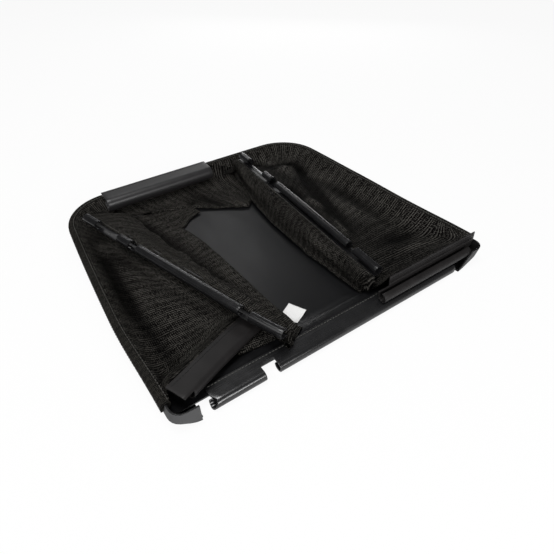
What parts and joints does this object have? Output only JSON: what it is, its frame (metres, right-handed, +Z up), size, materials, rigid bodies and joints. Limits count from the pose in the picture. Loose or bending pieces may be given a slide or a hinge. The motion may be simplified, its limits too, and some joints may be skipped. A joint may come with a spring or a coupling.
{
  "type": "mower grass collection bag",
  "caption": "Mesh grass collection bag with a moulded floor tray, folded flat without its wire frame, with extruded push-fit frame clips along its edges",
  "frame": {"origin": "centre of the bounding box in plan, on the ground plane under the floor tray", "axes": "X along the front edge, Y from the front edge to the rear rim, Z up from the ground; Z is the short direction of the folded bag"},
  "size_m": [0.4474, 0.4, 0.0436],
  "materials": {
    "tray_plastic": "semi-gloss black moulded plastic",
    "clip_plastic": "satin black extruded plastic",
    "binding_fabric": "black woven binding tape",
    "mesh_fabric": "near-black open woven mesh",
    "label_fabric": "white woven label, left bare"
  },
  "bodies": {
    "root": {"floor_tray": "tray_plastic", "rim_binding": "binding_fabric", "front_clip": "clip_plastic", "left_front_clip": "clip_plastic", "right_front_clip": "clip_plastic", "left_top_clip": "clip_plastic", "right_top_clip": "clip_plastic", "rear_top_clip": "clip_plastic", "left_wall_mesh": "mesh_fabric", "right_wall_mesh": "mesh_fabric", "rear_wall_mesh": "mesh_fabric", "care_label": "label_fabric"}
  },
  "joints": []
}
